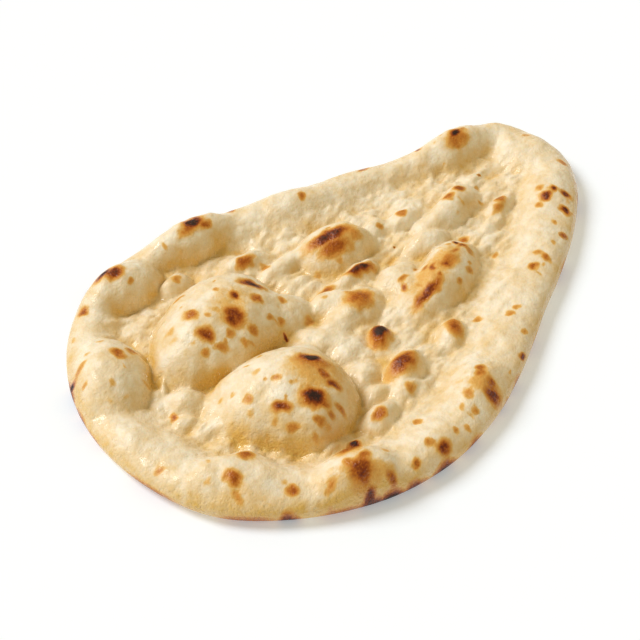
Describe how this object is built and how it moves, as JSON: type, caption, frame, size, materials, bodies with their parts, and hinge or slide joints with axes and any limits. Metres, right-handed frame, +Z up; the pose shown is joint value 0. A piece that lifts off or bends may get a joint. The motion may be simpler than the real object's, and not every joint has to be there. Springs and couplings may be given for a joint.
{
  "type": "naan bread",
  "caption": "Teardrop flatbread of one piece, with a puffed rim, hollow blisters, browned spots and a flat underside that it lies on.",
  "frame": {"origin": "on the flat underside, under the middle of the bread's length and width", "axes": "+X along the bread towards its narrow end, +Y across it, +Z up from the surface it lies on"},
  "size_m": [0.27, 0.178, 0.0278],
  "materials": {
    "crust": "pale baked dough, lightly oiled, with golden brown to black scorched spots"
  },
  "bodies": {
    "root": {"naan": "crust"}
  },
  "joints": []
}
